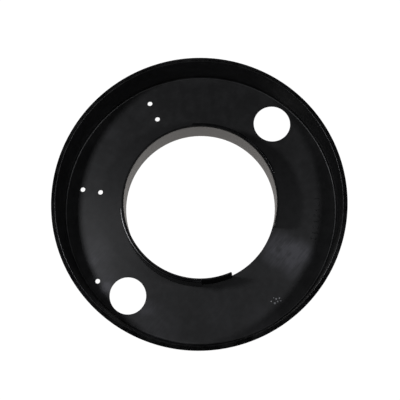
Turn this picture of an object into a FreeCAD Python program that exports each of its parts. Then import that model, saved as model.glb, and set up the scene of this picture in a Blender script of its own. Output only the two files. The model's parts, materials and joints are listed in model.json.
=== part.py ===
import FreeCAD, Part
import math
import os
from FreeCAD import Vector, Placement, Rotation

# Round dished flange.  Frame: +Z up (open side of the dish), origin at the
# centre of the foot ring on the resting plane, +X through the two large
# openings, the gap in the collar centred near -Y.  All lengths in mm.

doc = FreeCAD.newDocument("toilet_flange")

sheet = doc.addObject("Spreadsheet::Sheet", "Params")
PARAMS = [
    ("outer_dia", 177.8, "lip, outside diameter"),
    ("lip_width", 2.9, "turned-down lip on top of the wall"),
    ("lip_slope", 38.0, "lip slopes down outwards, degrees"),
    ("lip_thick", 1.5, "lip, height of its outer edge"),
    ("wall_thick", 1.5, "outer wall, thickness"),
    ("floor_thick", 1.5, "floor, vertical thickness"),
    ("floor_slope", 4.9, "floor rises towards the centre, degrees"),
    ("crease_dia", 167.8, "where floor and wall would meet if sharp"),
    ("wall_height", 31.2, "crease to the top of the lip if sharp"),
    ("foot_proud", 0.5, "foot ring below the underside of the floor"),
    ("foot_in_dia", 162.8, "foot ring, inside diameter"),
    ("crease_fillet", 1.2, "inside corner radius"),
    ("foot_fillet", 0.8, "outside corner radius at the foot"),
    ("lip_fillet", 0.4, "lip edge radius"),
    ("opening_dia", 91.6, "central opening"),
    ("large_hole_dia", 22.7, "large openings"),
    ("large_hole_rad", 69.6, "large openings, distance from the axis"),
    ("small_hole_dia", 3.0, "small holes"),
    ("pair_outer_rad", 74.15, "outer small hole of each pair"),
    ("pair_inner_rad", 62.9, "inner small hole of each pair"),
    ("pair_one_angle", 65.0, "first pair, degrees from +X"),
    ("pair_two_angle", 119.8, "second pair, degrees from +X"),
    ("single_rad", 77.2, "single small hole, distance from the axis"),
    ("single_angle", 164.8, "single small hole, degrees from +X"),
    ("collar_top", 26.7, "collar rim above the crease"),
    ("collar_rim_dia", 93.0, "collar, inside diameter at the rim"),
    ("collar_thick", 1.2, "collar band, thickness"),
    ("collar_start", -65.4, "one end of the collar band, degrees from +X"),
    ("collar_sweep", 309.9, "collar band, degrees"),
    ("strip_thick", 1.2, "backing strips, thickness"),
    ("strip_drop", 0.5, "backing strips end below the collar rim"),
    ("right_start", -28.4, "right backing strip, start"),
    ("right_sweep", 73.1, "right backing strip, degrees"),
    ("left_start", 133.4, "left backing strip, start"),
    ("left_sweep", 88.1, "left backing strip, degrees"),
    ("rim_fillet", 0.3, "collar rim edge radius"),
]
V = {}
for i, (name, value, note) in enumerate(PARAMS, start=1):
    sheet.set("A%d" % i, note)
    sheet.set("B%d" % i, repr(value))
    sheet.setAlias("B%d" % i, name)
    V[name] = value
doc.recompute()

# Expressions shared by several sketches.
SLOPE = "tan(Params.floor_slope * 1 deg)"
CREASE_R = "Params.crease_dia / 2"
CREASE_Z = "(Params.foot_proud + Params.floor_thick)"
DRAFT = ("((Params.outer_dia / 2 - Params.lip_width - Params.crease_dia / 2)"
         " / Params.wall_height)")


def floor_z(radius_expr):
    """Height of the upper floor surface at a radius."""
    return "%s + (%s - (%s)) * %s" % (CREASE_Z, CREASE_R, radius_expr, SLOPE)


def number(expr):
    """Value of an expression, for the sketch's first layout."""
    text = expr.replace("Params.", "").replace(" * 1 deg", "")
    names = dict(V)
    out, word = [], ""
    for ch in text + " ":
        if ch.isalnum() or ch in "_.":
            word += ch
            continue
        if word:
            if word in names:
                out.append(names[word])
            elif word == "tan":
                out.append("tan")
            else:
                out.append(float(word))
            word = ""
        if ch != " ":
            out.append(ch)
    pos = [0]

    def term():
        value = factor()
        while pos[0] < len(out) and out[pos[0]] in ("*", "/"):
            op = out[pos[0]]
            pos[0] += 1
            rhs = factor()
            value = value * rhs if op == "*" else value / rhs
        return value

    def factor():
        tok = out[pos[0]]
        pos[0] += 1
        if tok == "-":
            return -factor()
        if tok == "tan":
            pos[0] += 1
            value = total()
            pos[0] += 1
            return math.tan(math.radians(value))
        if tok == "(":
            value = total()
            pos[0] += 1
            return value
        return tok

    def total():
        value = term()
        while pos[0] < len(out) and out[pos[0]] in ("+", "-"):
            op = out[pos[0]]
            pos[0] += 1
            rhs = term()
            value = value + rhs if op == "+" else value - rhs
        return value

    return total()


def plane(body, role):
    for feature in body.Origin.OriginFeatures:
        if feature.Role == role:
            return feature
    raise ValueError(role)


def make_sketch(body, name, role):
    sk = body.newObject("Sketcher::SketchObject", name)
    sk.AttachmentSupport = (plane(body, role), [""])
    sk.MapMode = "FlatFace"
    return sk


def closed_profile(sk, points):
    """Closed polygon; each corner is (x expression, y expression)."""
    xy = [Vector(number(px), number(py), 0) for px, py in points]
    n = len(xy)
    for k in range(n):
        sk.addGeometry(Part.LineSegment(xy[k], xy[(k + 1) % n]), False)
    import Sketcher
    for k in range(n):
        sk.addConstraint(Sketcher.Constraint("Coincident", k, 2, (k + 1) % n, 1))
    for k, (px, py) in enumerate(points):
        for kind, expr in (("DistanceX", px), ("DistanceY", py)):
            value = xy[k].x if kind == "DistanceX" else xy[k].y
            if abs(value) < 1e-9:
                # a corner on the axis of the sketch
                sk.addConstraint(Sketcher.Constraint(
                    "PointOnObject", k, 1, -2 if kind == "DistanceX" else -1))
                continue
            index = sk.addConstraint(
                Sketcher.Constraint(kind, -1, 1, k, 1, value))
            sk.setExpression("Constraints[%d]" % index, expr)


def circle_at(sk, x_expr, y_expr, r_expr, x, y, r):
    import Sketcher
    g = sk.addGeometry(Part.Circle(Vector(x, y, 0), Vector(0, 0, 1), r), False)
    c = sk.addConstraint(Sketcher.Constraint("Radius", g, r))
    sk.setExpression("Constraints[%d]" % c, r_expr)
    for kind, expr, value in (("DistanceX", x_expr, x), ("DistanceY", y_expr, y)):
        if expr is None:
            sk.addConstraint(Sketcher.Constraint(
                "PointOnObject", g, 3, -2 if kind == "DistanceX" else -1))
        else:
            c = sk.addConstraint(Sketcher.Constraint(kind, -1, 1, g, 3, value))
            sk.setExpression("Constraints[%d]" % c, expr)


def ring_edges(shape, wanted):
    """Names of the circular edges round Z at the given (radius, height)."""
    names = []
    for k, edge in enumerate(shape.Edges, start=1):
        curve = edge.Curve
        if not isinstance(curve, Part.Circle):
            continue
        if math.hypot(curve.Center.x, curve.Center.y) > 1e-4:
            continue
        for radius, height in wanted:
            if (abs(curve.Radius - radius) < 2e-3
                    and abs(curve.Center.z - height) < 2e-3):
                names.append("Edge%d" % k)
                break
    return names


def fillet(body, base, name, wanted, radius_expr):
    names = ring_edges(base.Shape, wanted)
    if not names:
        raise ValueError("no edge found for " + name)
    f = body.newObject("PartDesign::Fillet", name)
    f.Base = (base, names)
    f.Radius = number(radius_expr)
    f.setExpression("Radius", radius_expr)
    doc.recompute()
    return f


# ---------------------------------------------------------------- the pan
pan = doc.addObject("PartDesign::Body", "flange_pan")
pan.Label = "flange_pan"

TOP = CREASE_Z + " + Params.wall_height"
LIP_R = "Params.outer_dia / 2 - Params.lip_width"
OUT_R = "Params.outer_dia / 2"
LIP_FALL = "Params.lip_width * tan(Params.lip_slope * 1 deg)"
EDGE_TOP = TOP + " - " + LIP_FALL
EDGE_LOW = EDGE_TOP + " - Params.lip_thick"
HOLE_R = "Params.opening_dia / 2"
FOOT_R = "Params.foot_in_dia / 2"


def under_z(radius_expr):
    return "Params.foot_proud + (%s - (%s)) * %s" % (CREASE_R, radius_expr, SLOPE)


sk_pan = make_sketch(pan, "pan_section", "XZ_Plane")
closed_profile(sk_pan, [
    (HOLE_R, under_z(HOLE_R)),
    (HOLE_R, floor_z(HOLE_R)),
    (CREASE_R, CREASE_Z),
    (LIP_R, TOP),
    (OUT_R, EDGE_TOP),
    (OUT_R, EDGE_LOW),
    (LIP_R + " + Params.wall_thick - (" + LIP_FALL + " + Params.lip_thick) * "
     + DRAFT, EDGE_LOW),
    (CREASE_R + " + Params.wall_thick - " + CREASE_Z + " * " + DRAFT,
     "0"),
    (FOOT_R, "0"),
    (FOOT_R, under_z(FOOT_R)),
])
doc.recompute()
rev = pan.newObject("PartDesign::Revolution", "pan_turned")
rev.Profile = sk_pan
rev.ReferenceAxis = (sk_pan, ["V_Axis"])
rev.Angle = 360.0
sk_pan.Visibility = False
doc.recompute()

tip = fillet(pan, rev, "crease_round",
             [(number(CREASE_R), number(CREASE_Z))], "Params.crease_fillet")
foot_r = number(CREASE_R + " + Params.wall_thick - " + CREASE_Z + " * " + DRAFT)
tip = fillet(pan, tip, "foot_round", [(foot_r, 0.0)], "Params.foot_fillet")
tip = fillet(pan, tip, "lip_round",
             [(number(LIP_R), number(TOP)), (number(OUT_R), number(EDGE_TOP)),
              (number(OUT_R), number(EDGE_LOW))],
             "Params.lip_fillet")

# Large openings, cut square to the floor; the second is turned half a turn.
before = tip.Shape.Volume
sk_big = make_sketch(pan, "large_opening_sketch", "XY_Plane")
mid_z = number(floor_z("Params.large_hole_rad")) - V["floor_thick"] / 2
sk_big.AttachmentOffset = Placement(
    Vector(V["large_hole_rad"], 0, mid_z),
    Rotation(Vector(0, 1, 0), V["floor_slope"]))
sk_big.setExpression(".AttachmentOffset.Base.x", "Params.large_hole_rad")
sk_big.setExpression(".AttachmentOffset.Base.z",
                     floor_z("Params.large_hole_rad") + " - Params.floor_thick / 2")
sk_big.setExpression(".AttachmentOffset.Rotation.Angle", "Params.floor_slope")
circle_at(sk_big, None, None, "Params.large_hole_dia / 2",
          0, 0, V["large_hole_dia"] / 2)
doc.recompute()
big = pan.newObject("PartDesign::Pocket", "large_opening")
big.Profile = sk_big
big.Type = "Length"
big.Length = 8.0
big.Midplane = True
doc.recompute()
pan.Tip = big
pattern = pan.newObject("PartDesign::PolarPattern", "large_openings")
pattern.Originals = [big]
pattern.Axis = (plane(pan, "Z_Axis"), [""])
pattern.Angle = 360.0
pattern.Occurrences = 2
pan.Tip = pattern
doc.recompute()
after = pattern.Shape.Volume
cut = 2 * math.pi * (V["large_hole_dia"] / 2) ** 2 * V["floor_thick"]
assert 0.97 * cut < before - after < 1.03 * cut, (before, after, cut)

# Small holes.
before = after
sk_small = make_sketch(pan, "small_hole_sketch", "XY_Plane")
for radius, angle in (("pair_outer_rad", "pair_one_angle"),
                      ("pair_inner_rad", "pair_one_angle"),
                      ("pair_outer_rad", "pair_two_angle"),
                      ("pair_inner_rad", "pair_two_angle"),
                      ("single_rad", "single_angle")):
    a = math.radians(V[angle])
    circle_at(sk_small,
              "Params.%s * cos(Params.%s * 1 deg)" % (radius, angle),
              "Params.%s * sin(Params.%s * 1 deg)" % (radius, angle),
              "Params.small_hole_dia / 2",
              V[radius] * math.cos(a), V[radius] * math.sin(a),
              V["small_hole_dia"] / 2)
doc.recompute()
small = pan.newObject("PartDesign::Pocket", "small_holes")
small.Profile = sk_small
small.Type = "Length"
small.Length = 24.0
small.Midplane = True
pan.Tip = small
doc.recompute()
after = small.Shape.Volume
cut = 5 * math.pi * (V["small_hole_dia"] / 2) ** 2 * V["floor_thick"]
assert 0.97 * cut < before - after < 1.03 * cut, (before, after, cut)


# ------------------------------------------------- collar band and strips
def band(name, inner_rim, thick_before, thick, drop, start, sweep):
    """Upright band on the floor, swept about Z from start by sweep degrees.

    thick_before is what lies between the opening's edge and this band.
    """
    body = doc.addObject("PartDesign::Body", name)
    body.Label = name
    base_in = "Params.opening_dia / 2" + thick_before
    rim_in = inner_rim + thick_before
    top = CREASE_Z + " + Params.collar_top" + drop
    sk = make_sketch(body, name + "_section", "XZ_Plane")
    # the sketch is turned to the band's first end
    sk.AttachmentOffset = Placement(
        Vector(0, 0, 0), Rotation(Vector(0, 1, 0), V[start]))
    sk.setExpression(".AttachmentOffset.Rotation.Angle", "Params." + start)
    closed_profile(sk, [
        (base_in, floor_z(base_in)),
        (base_in + " + Params." + thick, floor_z(base_in + " + Params." + thick)),
        (rim_in + " + Params." + thick, top),
        (rim_in, top),
    ])
    doc.recompute()
    turn = body.newObject("PartDesign::Revolution", name + "_swept")
    turn.Profile = sk
    turn.ReferenceAxis = (sk, ["V_Axis"])
    turn.Angle = V[sweep]
    turn.setExpression("Angle", "Params." + sweep)
    sk.Visibility = False
    doc.recompute()
    r = number(rim_in)
    last = fillet(body, turn, name + "_rim_round",
                  [(r, number(top)), (r + V[thick], number(top))],
                  "Params.rim_fillet")
    body.Tip = last
    doc.recompute()
    return body


RIM_R = "Params.collar_rim_dia / 2"
collar = band("collar_band", RIM_R, "", "collar_thick", "",
              "collar_start", "collar_sweep")
right = band("collar_backing_strip_right", RIM_R, " + Params.collar_thick",
             "strip_thick", " - Params.strip_drop", "right_start", "right_sweep")
left = band("collar_backing_strip_left", RIM_R, " + Params.collar_thick",
            "strip_thick", " - Params.strip_drop", "left_start", "left_sweep")

# --------------------------------------------------------------- export
doc.recompute()
for obj in doc.Objects:
    if "Invalid" in obj.State or "Error" in obj.State:
        raise RuntimeError("bad state: %s %s" % (obj.Name, obj.State))

os.makedirs("parts", exist_ok=True)
for body in (pan, collar, right, left):
    shape = body.Shape
    if shape.isNull() or not shape.isValid() or len(shape.Solids) != 1:
        raise RuntimeError("bad shape: " + body.Label)
    shape.exportStep("parts/%s.step" % body.Label)
    box = shape.BoundBox
    c = shape.Solids[0].CenterOfMass
    print(body.Label, "volume %.1f" % shape.Volume,
          "x %.2f %.2f y %.2f %.2f z %.2f %.2f" % (
              box.XMin, box.XMax, box.YMin, box.YMax, box.ZMin, box.ZMax),
          "com %.2f %.2f %.2f" % (c.x, c.y, c.z))
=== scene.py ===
import json
import math

import bmesh
import bpy
from mathutils import Matrix, Vector, noise


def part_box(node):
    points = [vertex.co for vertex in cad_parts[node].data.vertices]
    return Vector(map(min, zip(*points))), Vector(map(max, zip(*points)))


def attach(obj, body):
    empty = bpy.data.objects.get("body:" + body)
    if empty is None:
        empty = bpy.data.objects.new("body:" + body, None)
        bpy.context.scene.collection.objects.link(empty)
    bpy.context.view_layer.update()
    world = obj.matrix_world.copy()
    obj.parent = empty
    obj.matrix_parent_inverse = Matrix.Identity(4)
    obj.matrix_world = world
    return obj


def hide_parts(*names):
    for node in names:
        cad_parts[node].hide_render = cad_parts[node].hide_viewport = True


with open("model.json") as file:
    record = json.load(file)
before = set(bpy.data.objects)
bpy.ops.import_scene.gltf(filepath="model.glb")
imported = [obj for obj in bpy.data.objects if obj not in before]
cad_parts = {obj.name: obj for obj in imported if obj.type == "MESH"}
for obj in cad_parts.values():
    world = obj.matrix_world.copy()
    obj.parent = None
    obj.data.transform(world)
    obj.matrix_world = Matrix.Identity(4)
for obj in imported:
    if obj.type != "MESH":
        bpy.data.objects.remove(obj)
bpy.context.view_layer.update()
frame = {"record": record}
scene = bpy.context.scene
MM = 0.001

# ------------------------------------------------------------------ sizes
# Read off the frame where the frame has them, so the looks follow the CAD.
pan_lo, pan_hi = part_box("flange_pan")
col_lo, col_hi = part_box("collar_band")
mounts = {m["name"]: m for m in frame["record"]["mounts"]}

TOP = 33.2 * MM                      # lip's inner corner before rounding
R_OUT = 88.9 * MM
LIP_W = 2.9 * MM
LIP_T = 1.5 * MM
LIP_FALL = LIP_W * math.tan(math.radians(38.0))
WALL = 1.5 * MM
FLOOR_T = 1.5 * MM
SLOPE = math.tan(math.radians(4.9))
R_CREASE = 83.9 * MM
Z_CREASE = 2.0 * MM
R_HOLE = mounts["central_opening"]["dims"]["r_mm"] * MM
R_BIG = mounts["large_opening_right"]["dims"]["r_mm"] * MM
R_SMALL = mounts["single_screw_hole"]["dims"]["r_mm"] * MM
BIG_AT = mounts["large_opening_right"]["pos_m"][0]
R_FOOT = 81.4 * MM
COL_TOP = col_hi[2]
COL_FLARE = 0.7 * MM
COL_T = 1.2 * MM
LEAN_ALL, LEAN_SIDE, LEAN_AT = 0.38 * MM, 0.80 * MM, math.radians(154.8)


# The studio is laid out in its own axes: u to the picture's right, v to its
# top, w up.  The part's +X points up and to the right in the picture.
TURN = math.radians(-50.24)
UNIT = 0.62050673e-3


def floor_z(r):
    return Z_CREASE + (R_CREASE - r) * SLOPE


def studio(u, v, w=0.0):
    x = u * math.cos(TURN) - v * math.sin(TURN)
    y = u * math.sin(TURN) + v * math.cos(TURN)
    return Vector((x * UNIT, y * UNIT, w * UNIT + Z_CREASE))


def studio_dir(u, v, w):
    return Vector((u * math.cos(TURN) - v * math.sin(TURN),
                   u * math.sin(TURN) + v * math.cos(TURN), w))


# ------------------------------------------------------------------ helpers
def arc(p0, corner, p1, radius, n=7):
    """Points rounding the corner between the runs p0-corner and corner-p1."""
    c = Vector(corner)
    a = (Vector(p0) - c).normalized()
    b = (Vector(p1) - c).normalized()
    half = math.acos(max(-1, min(1, a.dot(b)))) / 2
    d = radius / math.tan(half)
    ta, tb = c + a * d, c + b * d
    centre = c + (a + b).normalized() * (radius / math.sin(half))
    va, vb = ta - centre, tb - centre
    ang = va.angle_signed(vb)
    pts = []
    for i in range(n + 1):
        t = -ang * i / n
        pts.append(centre + Vector((va.x * math.cos(t) - va.y * math.sin(t),
                                    va.x * math.sin(t) + va.y * math.cos(t))))
    return pts


def rounded(points, radii, n=7):
    """Closed (r, z) profile with each corner rounded by its radius."""
    out = []
    m = len(points)
    for i, p in enumerate(points):
        if radii[i] <= 0:
            out.append(Vector(p))
        else:
            out += arc(points[i - 1], p, points[(i + 1) % m], radii[i], n)
    return out


def subdivided(profile, longest):
    out = []
    m = len(profile)
    for i in range(m):
        a, b = profile[i], profile[(i + 1) % m]
        k = max(1, math.ceil((b - a).length / longest))
        for j in range(k):
            out.append(a.lerp(b, j / k))
    return out


def lathe(name, profile, start=0.0, sweep=360.0, segments=720, shape=None):
    """Solid of revolution of a closed (r, z) profile about Z."""
    full = sweep >= 359.999
    count = segments if full else segments + 1
    bm = bmesh.new()
    rings = []
    for k in range(count):
        t = math.radians(start + sweep * k / segments)
        ring = []
        for p in profile:
            r, z = p.x, p.y
            if shape:
                r, z = shape(r, z, t)
            ring.append(bm.verts.new((r * math.cos(t), r * math.sin(t), z)))
        rings.append(ring)
    m = len(profile)
    for k in range(segments):
        a, b = rings[k], rings[(k + 1) % count]
        for i in range(m):
            j = (i + 1) % m
            bm.faces.new((a[i], b[i], b[j], a[j]))
    if not full:
        bm.faces.new(list(reversed(rings[0])))
        bm.faces.new(rings[-1])
    bmesh.ops.recalc_face_normals(bm, faces=bm.faces)
    me = bpy.data.meshes.new(name)
    bm.to_mesh(me)
    bm.free()
    ob = bpy.data.objects.new(name, me)
    scene.collection.objects.link(ob)
    return ob


def settle(ob):
    """Applies every modifier and leaves a plain mesh."""
    dg = bpy.context.evaluated_depsgraph_get()
    me = bpy.data.meshes.new_from_object(ob.evaluated_get(dg))
    ob.modifiers.clear()
    old = ob.data
    ob.data = me
    me.name = ob.name
    bpy.data.meshes.remove(old)
    return ob


def shade(ob, degrees=32.0):
    """Smooth shading with creases where faces meet more steeply than this."""
    bm = bmesh.new()
    bm.from_mesh(ob.data)
    limit = math.radians(degrees)
    for f in bm.faces:
        f.smooth = True
    for e in bm.edges:
        e.smooth = not (len(e.link_faces) == 2 and e.calc_face_angle() > limit)
    bm.to_mesh(ob.data)
    bm.free()


def cut(ob, tools):
    for tool in tools:
        mod = ob.modifiers.new("cut", "BOOLEAN")
        mod.operation = "DIFFERENCE"
        mod.solver = "EXACT"
        mod.object = tool
    bpy.context.view_layer.update()
    settle(ob)
    for tool in tools:
        bpy.data.objects.remove(tool, do_unlink=True)


def drill(radius, centre, normal, thick, edge, segments):
    """Cutter for a round hole; with an edge, both its rims are eased."""
    h = thick / 2
    half = [(radius, 0.6 * h)]
    if edge:
        half = [(radius, h - edge), (radius + 0.30 * edge, h - 0.35 * edge),
                (radius + edge + 0.7 * MM, h + 0.45 * MM)]
    half.append((half[-1][0], h + 3 * MM))
    bm = bmesh.new()
    axis = []
    rows = [(r, -z) for r, z in reversed(half)] + half
    for k in range(segments):
        t = 2 * math.pi * k / segments
        axis.append([bm.verts.new((r * math.cos(t), r * math.sin(t), z)) for r, z in rows])
    for k in range(segments):
        a, b = axis[k], axis[(k + 1) % segments]
        for i in range(len(rows) - 1):
            bm.faces.new((a[i], b[i], b[i + 1], a[i + 1]))
    bm.faces.new([axis[k][0] for k in reversed(range(segments))])
    bm.faces.new([axis[k][-1] for k in range(segments)])
    bmesh.ops.recalc_face_normals(bm, faces=bm.faces)
    me = bpy.data.meshes.new("drill")
    bm.to_mesh(me)
    bm.free()
    ob = bpy.data.objects.new("drill", me)
    scene.collection.objects.link(ob)
    q = Vector((0, 0, 1)).rotation_difference(Vector(normal))
    ob.matrix_world = Matrix.Translation(Vector(centre)) @ q.to_matrix().to_4x4()
    return ob


# ------------------------------------------------------------------ the pan
draft = (R_OUT - LIP_W - R_CREASE) / (TOP - Z_CREASE)
corners = [
    (R_HOLE, floor_z(R_HOLE) - FLOOR_T),
    (R_HOLE, floor_z(R_HOLE)),
    (R_CREASE, Z_CREASE),
    (R_OUT - LIP_W, TOP),
    (R_OUT, TOP - LIP_FALL),
    (R_OUT, TOP - LIP_FALL - LIP_T),
    (R_OUT - LIP_W + WALL - (LIP_FALL + LIP_T) * draft, TOP - LIP_FALL - LIP_T),
    (R_CREASE + WALL - Z_CREASE * draft, 0.0),
    (R_FOOT, 0.0),
    (R_FOOT, floor_z(R_FOOT) - FLOOR_T),
]
radii = [0.2 * MM, 0.12 * MM, 1.2 * MM, 0.4 * MM, 0.4 * MM, 0.4 * MM, 0.4 * MM,
         0.8 * MM, 0.12 * MM, 0.1 * MM]
profile = subdivided(rounded(corners, radii, 8), 4.0 * MM)
pan = lathe("flange_pan_moulding", profile, segments=540)

s = math.atan(SLOPE)
tools = []
for side in (1, -1):
    mid = Vector((side * BIG_AT, 0, floor_z(BIG_AT) - FLOOR_T / 2))
    tools.append(drill(R_BIG, mid, (side * math.sin(s), 0, math.cos(s)),
                       FLOOR_T * math.cos(s), 0.22 * MM, 160))
small_at = []
for name in ("screw_pair_right", "screw_pair_left"):
    m = mounts[name]
    x, y, z = m["pos_m"]
    ang = math.atan2(y, x)
    half = m["dims"]["pcd_mm"] * MM / 2
    for d in (-half, half):
        r = math.hypot(x, y) + d
        small_at.append((r * math.cos(ang), r * math.sin(ang)))
x, y, z = mounts["single_screw_hole"]["pos_m"]
small_at.append((x, y))
for x, y in small_at:
    r = math.hypot(x, y)
    mid = Vector((x, y, floor_z(r) - FLOOR_T / 2))
    tools.append(drill(R_SMALL, mid, (0, 0, 1), FLOOR_T, 0.0, 48))
cut(pan, tools)
shade(pan, 30)


# ------------------------------------------- upright collar and its strips
def wavy(amount, seed):
    """A thin band isn't a perfect cylinder: it wanders a little in radius,
    and its rim sits a little to one side of the opening."""
    def shape(r, z, t):
        up = min(1.0, max(0.0, (z - 0.008) / 0.02))
        w = noise.noise(Vector((math.cos(t) * 2.2 + seed, math.sin(t) * 2.2, z * 20)))
        lean = LEAN_ALL + LEAN_SIDE * math.cos(t - LEAN_AT)
        return r + (amount * w - lean) * up, z
    return shape


def band(name, offset, drop, start, sweep, segments, edge, fall=0.0):
    base, rim = R_HOLE + offset, R_HOLE + COL_FLARE + offset
    top = COL_TOP - drop
    pts = [
        (base, floor_z(base)),
        (base + COL_T, floor_z(base + COL_T)),
        (rim + COL_T, top - fall),
        (rim, top),
    ]
    prof = subdivided(rounded(pts, [0, 0, edge, edge], 5), 2.5 * MM)
    ob = lathe(name, prof, start, sweep, segments, wavy(0.10 * MM, 3.1))
    # soften the sharp outline of both cut ends
    bm = bmesh.new()
    bm.from_mesh(ob.data)
    ends = [f for f in bm.faces if len(f.verts) > 4]
    edges = set()
    for f in ends:
        for e in f.edges:
            if max(v.co.z for v in e.verts) > floor_z(base) + 0.4 * MM:
                edges.add(e)
    bmesh.ops.bevel(bm, geom=list(edges), offset=0.16 * MM, segments=3,
                    affect="EDGES", profile=0.5, clamp_overlap=True)
    bm.to_mesh(ob.data)
    bm.free()
    shade(ob, 40)
    return ob


collar = band("collar_band_shell", 0.0, 0.0, -65.4, 309.9, 620, 0.3 * MM)
right = band("collar_strip_right", COL_T, 0.5 * MM, -28.4, 73.1, 150, 0.35 * MM,
             0.25 * MM)
left = band("collar_strip_left", COL_T, 0.5 * MM, 133.4, 88.1, 180, 0.35 * MM,
            0.25 * MM)


# ------------------------------------------- plain marks on the pan's floor
def chip(bm, at, length, width, height, turn):
    """A small raised bar with a rounded top, lying on the sloping floor."""
    r = math.hypot(at.x, at.y)
    a = math.atan2(at.y, at.x)
    base = Vector((at.x, at.y, floor_z(r)))
    slope = Matrix.Rotation(a, 4, "Z") @ Matrix.Rotation(s, 4, "Y")
    place = Matrix.Translation(base) @ slope @ Matrix.Rotation(turn, 4, "Z")
    rows = []
    n = 14
    for k in range(n):
        t = 2 * math.pi * k / n
        x = math.copysign(max(0.0, (length - width) / 2), math.cos(t)) + width / 2 * math.cos(t)
        y = width / 2 * math.sin(t)
        rows.append((x, y))
    rings = []
    for shrink, z in ((1.0, -0.02 * MM), (1.0, height * 0.5), (0.8, height * 0.85), (0.45, height)):
        ring = []
        for x, y in rows:
            cx = math.copysign(max(0.0, (length - width) / 2), x)
            ring.append(bm.verts.new(place @ Vector((cx + (x - cx) * shrink, y * shrink, z))))
        rings.append(ring)
    for lo_ring, hi_ring in zip(rings, rings[1:]):
        for k in range(n):
            j = (k + 1) % n
            bm.faces.new((lo_ring[k], lo_ring[j], hi_ring[j], hi_ring[k]))
    bm.faces.new(rings[-1])
    bm.faces.new(list(reversed(rings[0])))


def marks(name, chips):
    bm = bmesh.new()
    for c in chips:
        chip(bm, *c)
    bmesh.ops.recalc_face_normals(bm, faces=bm.faces)
    me = bpy.data.meshes.new(name)
    bm.to_mesh(me)
    bm.free()
    ob = bpy.data.objects.new(name, me)
    scene.collection.objects.link(ob)
    shade(ob, 50)
    return ob


bars = []
for k in range(8):
    t = math.radians(-15.0 + 2.85 * k)
    for off, turn, size in (((0.0, 0.0, 3.2),) if k % 2 else
                            ((-1.4, 90.0, 1.5), (1.4, 90.0, 1.5))):
        r = 115.6 + off / 0.6205
        bars.append((studio(r * math.cos(t), r * math.sin(t)), size * MM,
                     0.6 * MM, 0.36 * MM, math.radians(turn)))
tally = marks("flange_pan_raised_bars", bars)
dots = []
for u, v, size in (
        (69.7, -92.2, 0.8), (73.1, -94.0, 1.3), (75.9, -92.4, 1.0), (74.5, -89.8, 1.1),
        (77.7, -89.0, 0.9), (79.1, -91.6, 0.7), (72.1, -88.8, 0.6)):
    dots.append((studio(u, v), size * MM, size * MM, 0.06 * MM, 0.0))
specks = marks("flange_pan_pale_dots", dots)


# ------------------------------------------------------------------ finish
def nodes_of(mat):
    mat.use_nodes = True
    nt = mat.node_tree
    nt.nodes.clear()
    return nt


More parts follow.
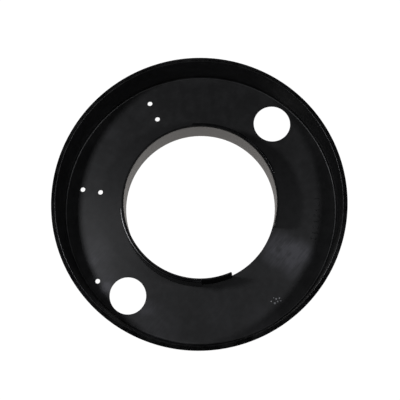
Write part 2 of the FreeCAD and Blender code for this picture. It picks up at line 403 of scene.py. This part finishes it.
def plastic(name, colour, rough, spread, scuff, grain, coat=0.0, sheen_and_dust=(), level=0.5,
            polished=None):
    """Moulded black plastic: base tone, gloss that varies, scuffs and grain, and paler patches that
    paint in sheen.
    """
    mat = bpy.data.materials.new(name)
    nt = nodes_of(mat)
    N, L = nt.nodes, nt.links

    def add(kind, **kw):
        n = N.new(kind)
        for k, v in kw.items():
            setattr(n, k, v)
        return n

    out = add("ShaderNodeOutputMaterial")
    bsdf = add("ShaderNodeBsdfPrincipled")
    L.new(bsdf.outputs[0], out.inputs[0])
    bsdf.inputs["IOR"].default_value = 1.5
    bsdf.inputs["Specular IOR Level"].default_value = level
    bsdf.inputs["Coat Weight"].default_value = coat
    bsdf.inputs["Coat Roughness"].default_value = 0.34
    tc = add("ShaderNodeTexCoord")

    # cloudy handling marks, a few centimetres across
    cloud = add("ShaderNodeTexNoise")
    cloud.inputs["Scale"].default_value = 60.0
    cloud.inputs["Detail"].default_value = 5.0
    cloud.inputs["Roughness"].default_value = 0.62
    L.new(tc.outputs["Object"], cloud.inputs["Vector"])
    # fine moulding grain
    fine = add("ShaderNodeTexNoise")
    fine.inputs["Scale"].default_value = 900.0
    fine.inputs["Detail"].default_value = 3.0
    L.new(tc.outputs["Object"], fine.inputs["Vector"])
    # scratches: long thin streaks in two directions
    streaks = []
    for turn, scale, seed in ((0.5, 60.0, 1.7), (2.3, 48.0, 5.2)):
        mp = add("ShaderNodeMapping")
        mp.inputs["Rotation"].default_value = (0, 0, turn)
        mp.inputs["Scale"].default_value = (1.0, 26.0, 1.0)
        mp.inputs["Location"].default_value = (seed, seed, seed)
        L.new(tc.outputs["Object"], mp.inputs["Vector"])
        nz = add("ShaderNodeTexNoise")
        nz.inputs["Scale"].default_value = scale
        nz.inputs["Detail"].default_value = 2.0
        nz.inputs["Distortion"].default_value = 0.6
        L.new(mp.outputs[0], nz.inputs["Vector"])
        rp = add("ShaderNodeValToRGB")
        rp.color_ramp.elements[0].position = 0.66
        rp.color_ramp.elements[1].position = 0.74
        L.new(nz.outputs["Fac"], rp.inputs["Fac"])
        streaks.append(rp)
    both = add("ShaderNodeMath", operation="MAXIMUM")
    L.new(streaks[0].outputs["Color"], both.inputs[0])
    L.new(streaks[1].outputs["Color"], both.inputs[1])
    scratch = add("ShaderNodeMath", operation="MULTIPLY")
    L.new(both.outputs[0], scratch.inputs[0])
    L.new(cloud.outputs["Fac"], scratch.inputs[1])

    # roughness = base + cloud * spread + scratch * scuff
    r1 = add("ShaderNodeMath", operation="MULTIPLY_ADD")
    L.new(cloud.outputs["Fac"], r1.inputs[0])
    r1.inputs[1].default_value = spread
    r1.inputs[2].default_value = rough - spread / 2
    level_rough = r1.outputs[0]
    if polished:
        # the mould was polished along the inside corner
        flat = add("ShaderNodeVectorMath", operation="MULTIPLY")
        flat.inputs[1].default_value = (1, 1, 0)
        L.new(tc.outputs["Object"], flat.inputs[0])
        away = add("ShaderNodeVectorMath", operation="LENGTH")
        L.new(flat.outputs["Vector"], away.inputs[0])
        off_line = add("ShaderNodeMath", operation="SUBTRACT")
        L.new(away.outputs["Value"], off_line.inputs[0])
        off_line.inputs[1].default_value = polished[0]
        size = add("ShaderNodeMath", operation="ABSOLUTE")
        L.new(off_line.outputs[0], size.inputs[0])
        gloss = add("ShaderNodeMapRange", interpolation_type="SMOOTHSTEP")
        L.new(size.outputs[0], gloss.inputs["Value"])
        gloss.inputs["From Min"].default_value = polished[1]
        gloss.inputs["From Max"].default_value = polished[1] * 1.6
        gloss.inputs["To Min"].default_value = polished[2]
        gloss.inputs["To Max"].default_value = 0.0
        # and so is the lip, outside its inner edge
        lip = add("ShaderNodeMapRange", interpolation_type="SMOOTHSTEP")
        L.new(away.outputs["Value"], lip.inputs["Value"])
        lip.inputs["From Min"].default_value = polished[3]
        lip.inputs["From Max"].default_value = polished[3] + 0.3 * MM
        lip.inputs["To Min"].default_value = 0.0
        lip.inputs["To Max"].default_value = polished[4]
        sum_gloss = add("ShaderNodeMath", operation="ADD")
        L.new(gloss.outputs["Result"], sum_gloss.inputs[0])
        L.new(lip.outputs["Result"], sum_gloss.inputs[1])
        less = add("ShaderNodeMath", operation="SUBTRACT")
        L.new(level_rough, less.inputs[0])
        L.new(sum_gloss.outputs[0], less.inputs[1])
        level_rough = less.outputs[0]
    r2 = add("ShaderNodeMath", operation="MULTIPLY_ADD")
    L.new(scratch.outputs[0], r2.inputs[0])
    r2.inputs[1].default_value = scuff * 0.35
    L.new(level_rough, r2.inputs[2])
    L.new(r2.outputs[0], bsdf.inputs["Roughness"])

    # colour: near black, a little dustier where it is handled
    mix = add("ShaderNodeMix", data_type="RGBA")
    ramp = add("ShaderNodeValToRGB")
    ramp.color_ramp.elements[0].position = 0.43
    ramp.color_ramp.elements[1].position = 0.68
    mottle = add("ShaderNodeTexNoise")
    mottle.inputs["Scale"].default_value = 230.0
    mottle.inputs["Detail"].default_value = 4.0
    L.new(tc.outputs["Object"], mottle.inputs["Vector"])
    half_way = add("ShaderNodeMix", data_type="FLOAT")
    half_way.inputs["Factor"].default_value = 0.45
    L.new(cloud.outputs["Fac"], half_way.inputs["A"])
    L.new(mottle.outputs["Fac"], half_way.inputs["B"])
    L.new(half_way.outputs["Result"], ramp.inputs["Fac"])
    L.new(ramp.outputs["Color"], mix.inputs["Factor"])
    mix.inputs["A"].default_value = (*colour, 1)
    mix.inputs["B"].default_value = (*[c * 2.0 + 0.015 for c in colour], 1)
    mix2 = add("ShaderNodeMix", data_type="RGBA")
    amount = add("ShaderNodeMath", operation="MULTIPLY")
    L.new(scratch.outputs[0], amount.inputs[0])
    amount.inputs[1].default_value = scuff
    L.new(amount.outputs[0], mix2.inputs["Factor"])
    L.new(mix.outputs["Result"], mix2.inputs["A"])
    mix2.inputs["B"].default_value = (0.05, 0.05, 0.056, 1)
    last = mix2.outputs["Result"]

    # paler patches, soft-edged and uneven: painted sheen where the lamps give too little light,
    # partly dust from handling
    total = None
    for u, v, reach, pale in sheen_and_dust:
        dist = add("ShaderNodeVectorMath", operation="DISTANCE")
        L.new(tc.outputs["Object"], dist.inputs[0])
        dist.inputs[1].default_value = studio(u, v, 4.0)
        near = add("ShaderNodeMapRange", interpolation_type="SMOOTHSTEP")
        L.new(dist.outputs["Value"], near.inputs["Value"])
        near.inputs["From Min"].default_value = reach * UNIT
        near.inputs["From Max"].default_value = reach * 0.2 * UNIT
        near.inputs["To Min"].default_value = 0.0
        near.inputs["To Max"].default_value = pale
        if total is None:
            total = near.outputs["Result"]
        else:
            both = add("ShaderNodeMath", operation="ADD")
            L.new(total, both.inputs[0])
            L.new(near.outputs["Result"], both.inputs[1])
            total = both.outputs[0]
    if total is not None:
        patch_noise = add("ShaderNodeTexNoise")
        patch_noise.inputs["Scale"].default_value = 210.0
        patch_noise.inputs["Detail"].default_value = 4.0
        L.new(tc.outputs["Object"], patch_noise.inputs["Vector"])
        uneven = add("ShaderNodeMapRange")
        L.new(patch_noise.outputs["Fac"], uneven.inputs["Value"])
        uneven.inputs["From Min"].default_value = 0.30
        uneven.inputs["From Max"].default_value = 0.70
        uneven.inputs["To Min"].default_value = 0.45
        uneven.inputs["To Max"].default_value = 1.15
        # the paler patches carry fine crossed hairlines as well as their uneven spread
        hair = None
        for turn, seed in ((-0.2, 2.1), (0.55, 7.3)):
            mp = add("ShaderNodeMapping")
            mp.inputs["Rotation"].default_value = (0, 0, turn)
            mp.inputs["Scale"].default_value = (1.0, 9.0, 1.0)
            mp.inputs["Location"].default_value = (seed, seed, seed)
            L.new(tc.outputs["Object"], mp.inputs["Vector"])
            nz = add("ShaderNodeTexNoise")
            nz.inputs["Scale"].default_value = 90.0
            nz.inputs["Detail"].default_value = 3.0
            L.new(mp.outputs[0], nz.inputs["Vector"])
            hr = add("ShaderNodeMapRange")
            L.new(nz.outputs["Fac"], hr.inputs["Value"])
            hr.inputs["From Min"].default_value = 0.48
            hr.inputs["From Max"].default_value = 0.70
            hr.inputs["To Min"].default_value = 0.0
            hr.inputs["To Max"].default_value = 0.5
            if hair is None:
                hair = hr.outputs["Result"]
            else:
                top_hair = add("ShaderNodeMath", operation="MAXIMUM")
                L.new(hair, top_hair.inputs[0])
                L.new(hr.outputs["Result"], top_hair.inputs[1])
                hair = top_hair.outputs[0]
        blend = add("ShaderNodeMath", operation="ADD")
        L.new(uneven.outputs["Result"], blend.inputs[0])
        L.new(hair, blend.inputs[1])
        amount2 = add("ShaderNodeMath", operation="MULTIPLY")
        L.new(total, amount2.inputs[0])
        L.new(blend.outputs[0], amount2.inputs[1])
        mix3 = add("ShaderNodeMix", data_type="RGBA")
        L.new(amount2.outputs[0], mix3.inputs["Factor"])
        L.new(last, mix3.inputs["A"])
        # pale tone of the patches: painted sheen, partly dust
        mix3.inputs["B"].default_value = (0.10, 0.099, 0.112, 1)
        last = mix3.outputs["Result"]
    L.new(last, bsdf.inputs["Base Color"])

    # bump from grain and scratches
    bump = add("ShaderNodeBump")
    bump.inputs["Strength"].default_value = grain
    bump.inputs["Distance"].default_value = 0.00003
    L.new(fine.outputs["Fac"], bump.inputs["Height"])
    bump2 = add("ShaderNodeBump")
    bump2.inputs["Strength"].default_value = 0.25
    bump2.inputs["Distance"].default_value = 0.00004
    bump2.invert = True
    L.new(scratch.outputs[0], bump2.inputs["Height"])
    L.new(bump.outputs[0], bump2.inputs["Normal"])
    L.new(bump2.outputs[0], bsdf.inputs["Normal"])
    return mat


# (u, v, reach, how pale) of the paler patches, in the studio's axes; they paint in sheen the lamps
# do not give, partly dust from handling
SHEEN_AND_DUST_PATCHES = [
    (78, -42, 24, 0.75),
    (97, -45, 19, 0.85),
    (90, -60, 15, 0.40),
    (-103, -44, 24, 0.24),
    (-95, -72, 20, 0.34),
    (-107, -52, 9, 0.30),
    (-88, 78, 14, 0.10),
    (-54, -99, 13, 0.42),
    (-93, -79, 10, 0.95),
    (-46, -119, 34, 0.18),
    (60, -112, 26, 0.10),
    (20, -105, 30, 0.05),
]
m_pan = plastic("pan_black_plastic", (0.0034, 0.0034, 0.0037), 0.62, 0.24, 0.35, 0.35,
                0.2, SHEEN_AND_DUST_PATCHES, polished=(83.2 * MM, 0.8 * MM, 0.20, 86.0 * MM, 0.34))
m_collar = plastic("collar_black_plastic", (0.0012, 0.0012, 0.0013), 0.55, 0.06, 0.2, 0.2,
                   level=0.22)
m_strip = plastic("strip_black_plastic", (0.003, 0.003, 0.0036), 0.26, 0.06, 0.2, 0.2)


def wear(ob, mat, node):
    ob.data.materials.clear()
    ob.data.materials.append(mat)
    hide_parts(node)
    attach(ob, "root")


m_dot = plastic("pale_paint", (0.30, 0.30, 0.31), 0.6, 0.05, 0.1, 0.1)
wear(pan, m_pan, "flange_pan")
wear(tally, m_pan, "flange_pan")
wear(specks, m_dot, "flange_pan")
wear(collar, m_collar, "collar_band")
wear(right, m_strip, "collar_backing_strip_right")
wear(left, m_strip, "collar_backing_strip_left")

# ------------------------------------------------------------------ camera
TILT, AZ, DIST = math.radians(9.61), math.radians(12.07), 1479.43
back = studio_dir(math.sin(AZ) * math.sin(TILT), -math.cos(AZ) * math.sin(TILT),
                  math.cos(TILT)).normalized()
up = studio_dir(0, 1, 0)
up = (up - back * up.dot(back)).normalized()
side = up.cross(back)
cam_data = bpy.data.cameras.new("camera")
cam = bpy.data.objects.new("camera", cam_data)
scene.collection.objects.link(cam)
target = studio(-0.48, 9.51, 0)
rot = Matrix((side, up, back)).transposed()
cam.rotation_mode = "QUATERNION"
cam.rotation_quaternion = rot.to_quaternion()
cam.location = target + back * DIST * UNIT
cam_data.sensor_width = 36.0
cam_data.lens = 36.0 * DIST / 400.0 * 1.003
cam_data.clip_start, cam_data.clip_end = 0.01, 20.0
scene.camera = cam


# ------------------------------------------------------------------ studio
def flat_material(name, colour, glow, emit):
    mat = bpy.data.materials.new(name)
    nt = nodes_of(mat)
    out = nt.nodes.new("ShaderNodeOutputMaterial")
    b = nt.nodes.new("ShaderNodeBsdfPrincipled")
    b.inputs["Base Color"].default_value = (*colour, 1)
    b.inputs["Roughness"].default_value = 0.9
    b.inputs["Specular IOR Level"].default_value = 0.0
    b.inputs["Emission Color"].default_value = (*glow, 1)
    b.inputs["Emission Strength"].default_value = emit
    nt.links.new(b.outputs[0], out.inputs[0])
    return mat


def disc(name, radius, z, mat, inner=0.0, segments=128, at=(0, 0)):
    bm = bmesh.new()
    o = [bm.verts.new((at[0] + radius * math.cos(2 * math.pi * k / segments),
                       at[1] + radius * math.sin(2 * math.pi * k / segments), z))
         for k in range(segments)]
    if inner > 0:
        i = [bm.verts.new((at[0] + inner * math.cos(2 * math.pi * k / segments),
                           at[1] + inner * math.sin(2 * math.pi * k / segments), z))
             for k in range(segments)]
        for k in range(segments):
            j = (k + 1) % segments
            bm.faces.new((o[k], o[j], i[j], i[k]))
    else:
        bm.faces.new(o)
    me = bpy.data.meshes.new(name)
    bm.to_mesh(me)
    bm.free()
    ob = bpy.data.objects.new(name, me)
    scene.collection.objects.link(ob)
    me.materials.append(mat)
    return ob


floor = disc("studio_floor", 6.0, -0.0003,
             flat_material("floor_white", (0.2, 0.2, 0.2), (1, 1, 1), 1.0))
floor.visible_glossy = False

# The floor's light on the part comes from cards just under it, because the
# part shades the floor beneath itself: full in the middle of the opening,
# faint under the two large openings, half strength outside the part.
def card(name, outer, inner, colour, emit, at=(0, 0)):
    ob = disc(name, outer, -0.0002, flat_material(name, (0, 0, 0), colour, emit),
              inner, 96, at)
    ob.visible_camera = False
    ob.visible_shadow = False
    ob.visible_diffuse = False
    return ob


card("card_middle", 0.0458, 0.0, (1.0, 0.955, 0.92), 1.5)
card("card_right", 0.0113, 0.0, (1, 1, 1), 0.06, (BIG_AT, 0))
card("card_left", 0.0113, 0.0, (1, 1, 1), 0.06, (-BIG_AT, 0))
card("card_round", 0.24, 0.105, (1, 1, 1), 0.32)


def lamp(name, at, aim, size, watts, colour=(1, 1, 1)):
    data = bpy.data.lights.new(name, "AREA")
    data.shape = "DISK"
    data.size = size
    data.energy = watts
    data.color = colour
    ob = bpy.data.objects.new(name, data)
    scene.collection.objects.link(ob)
    ob.location = at
    ob.rotation_mode = "QUATERNION"
    ob.rotation_quaternion = (Vector(aim) - Vector(at)).to_track_quat("-Z", "Y")
    return ob


lamp("lamp_left", studio(-545, 15, 1060), studio(0, -10, 0), 0.10, 1.20, (0.95, 0.96, 1.0))
lamp("lamp_right", studio(565, -150, 1040), studio(0, -10, 0), 0.10, 0.78, (0.95, 0.96, 1.0))

world = bpy.data.worlds.new("studio_air")
scene.world = world
world.use_nodes = True
nt = world.node_tree
nt.nodes.clear()
wo = nt.nodes.new("ShaderNodeOutputWorld")
bg = nt.nodes.new("ShaderNodeBackground")
bg.inputs["Color"].default_value = (0.86, 0.87, 0.89, 1)
nt.links.new(bg.outputs[0], wo.inputs[0])
world.cycles_visibility.glossy = False
world.cycles_visibility.diffuse = False

scene.view_settings.view_transform = "Standard"
